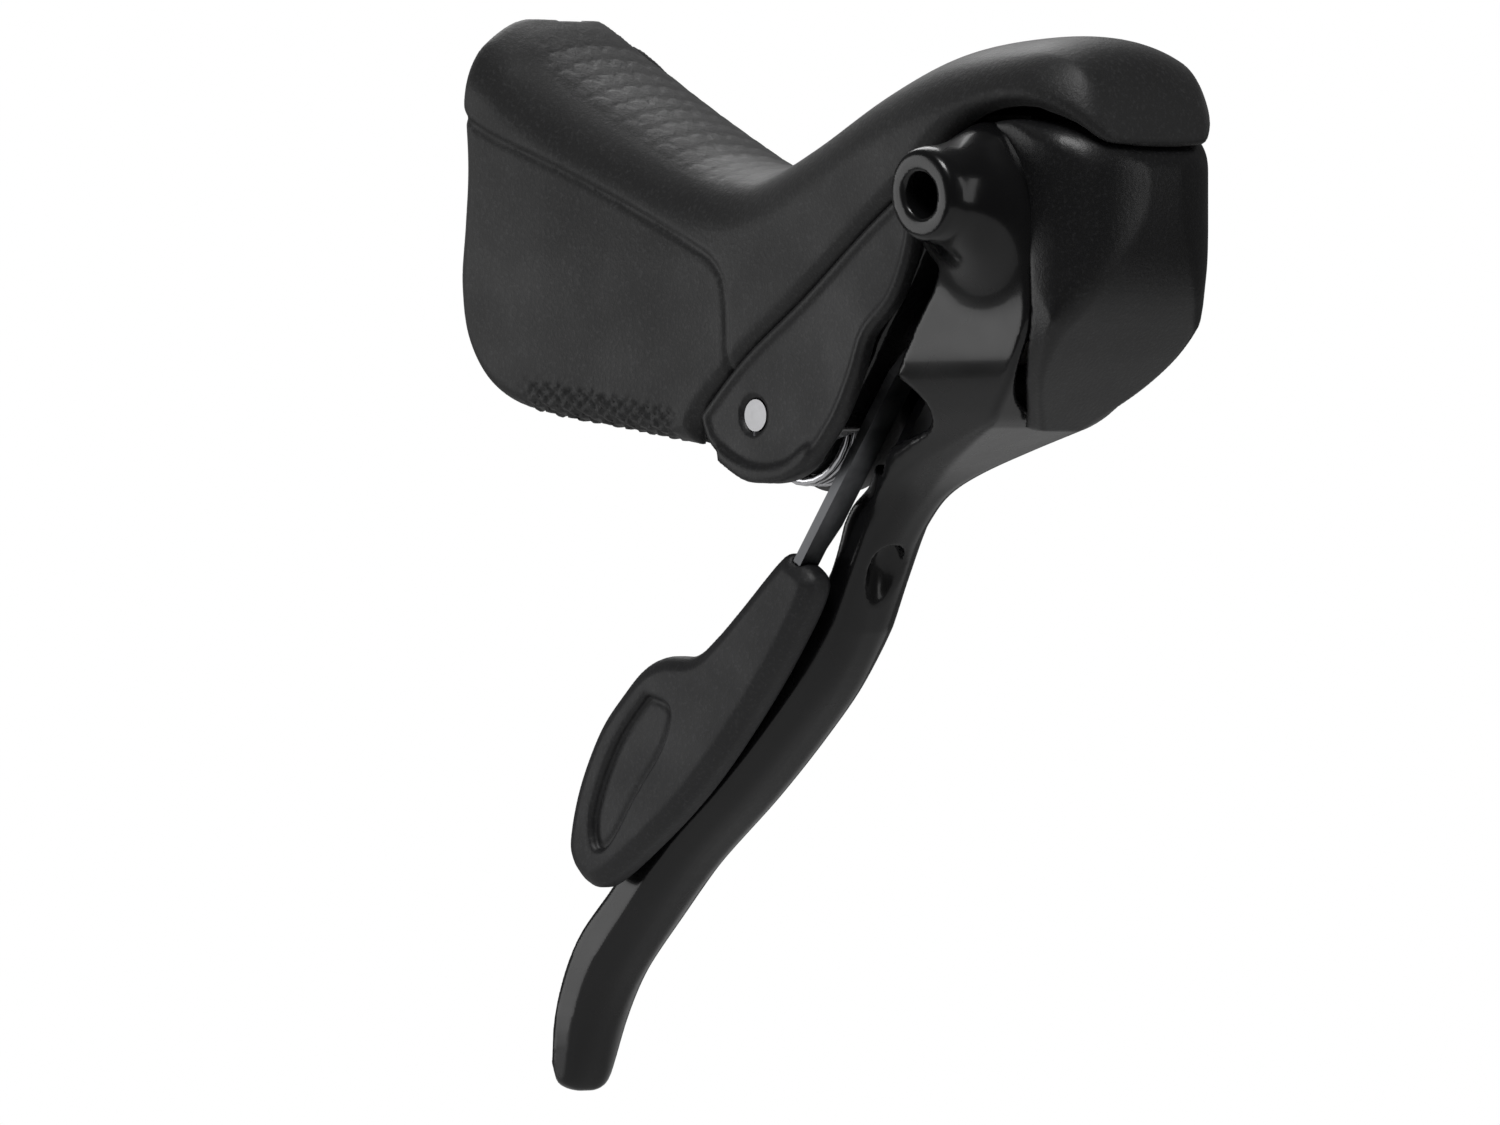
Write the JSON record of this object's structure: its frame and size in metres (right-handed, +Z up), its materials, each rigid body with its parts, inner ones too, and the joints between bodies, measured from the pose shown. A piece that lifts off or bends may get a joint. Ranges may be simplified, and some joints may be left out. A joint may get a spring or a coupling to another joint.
{
  "type": "bicycle brake shift lever",
  "caption": "Left-hand road bicycle brake lever with a built-in cable shifter: rubber hood, lever with cable outlet, shift and release paddles behind the blade, and a band clamp for a drop bar.",
  "frame": {"origin": "centre of the handlebar clamp, on the axis of the bar", "axes": "+X forward, away from the rider; +Y to the rider's left, the outer side of this left-hand lever; +Z up. The bar leans towards the rear at the clamp."},
  "size_m": [0.1366, 0.0426, 0.1488],
  "materials": {
    "bracket": "matt black reinforced plastic with a fine grain",
    "hood_rubber": "matt black moulded rubber with a fine speckle",
    "bright_steel": "bright turned steel",
    "dark_steel": "black oxidised steel",
    "spring_steel": "bright drawn spring wire",
    "brass": "turned brass",
    "gloss_black": "black paint with a soft gloss over cast aluminium",
    "nylon": "natural white nylon",
    "cap_plastic": "satin black plastic with a fine grain",
    "arm_steel": "satin grey pressed steel",
    "paddle_plastic": "matt dark grey plastic"
  },
  "bodies": {
    "bracket": {"bracket_body": "bracket", "hood": "hood_rubber", "clamp_band": "bright_steel", "clamp_nut": "bright_steel", "clamp_bolt": "dark_steel", "pivot_pin": "bright_steel", "pin_set_screw": "dark_steel", "spring_hub": "bracket", "brake_return_spring": "spring_steel", "housing_ferrule": "brass", "rest_pad": "hood_rubber"},
    "lever": {"brake_lever": "gloss_black", "pivot_bushings": "nylon", "front_cap": "cap_plastic", "cap_screws": "dark_steel", "mech_axle": "bright_steel", "axle_nut": "bright_steel", "thrust_washers": "bright_steel", "hold_pawl_pin": "bright_steel", "hold_pawl_spring": "spring_steel", "drum_spring": "spring_steel", "shift_return_spring": "spring_steel", "release_return_spring": "spring_steel"},
    "anchor": {"cable_anchor": "bright_steel"},
    "drum": {"cable_drum": "nylon", "ratchet_plate": "bright_steel"},
    "holding_pawl": {"hold_pawl": "bright_steel"},
    "shift_lever": {"shift_arm": "arm_steel", "shift_paddle": "paddle_plastic", "paddle_rivets": "bright_steel", "drive_pawl_pin": "bright_steel"},
    "driving_pawl": {"drive_pawl": "bright_steel"},
    "release_lever": {"release_arm": "arm_steel", "release_paddle": "paddle_plastic"}
  },
  "joints": [
    {"name": "brake_pivot", "type": "hinge", "parent": "bracket", "child": "lever", "pos_m": [0.057, 0, -0.0267], "axis": [0, 1, 0], "range_deg": [0, 26], "stiffness_Nm_per_rad": 0.3, "springref_deg": -34.38},
    {"name": "anchor_turn", "type": "hinge", "parent": "lever", "child": "anchor", "pos_m": [0.0675, 0, -0.0085], "axis": [0, 1, 0], "range_deg": [-20, 20]},
    {"name": "drum_turn", "type": "hinge", "parent": "lever", "child": "drum", "pos_m": [0.093, 0, -0.006], "axis": [0.8, 0, -0.6], "range_deg": [0, 45]},
    {"name": "holding_pawl_rock", "type": "hinge", "parent": "lever", "child": "holding_pawl", "pos_m": [0.09792, 0.0064, 0.00056], "axis": [0.8, 0, -0.6], "range_deg": [-8, 0]},
    {"name": "shift_swing", "type": "hinge", "parent": "lever", "child": "shift_lever", "pos_m": [0.093, 0, -0.006], "axis": [-0.8, 0, 0.6], "range_deg": [0, 20], "stiffness_Nm_per_rad": 0.03, "springref_deg": -28.65},
    {"name": "drive_pawl_rock", "type": "hinge", "parent": "shift_lever", "child": "driving_pawl", "pos_m": [0.08748, -0.0032, -0.01336], "axis": [0.8, 0, -0.6], "range_deg": [0, 8]},
    {"name": "release_swing", "type": "hinge", "parent": "lever", "child": "release_lever", "pos_m": [0.093, 0, -0.006], "axis": [-0.8, 0, 0.6], "range_deg": [0, 3], "stiffness_Nm_per_rad": 0.03, "springref_deg": -28.65}
  ]
}
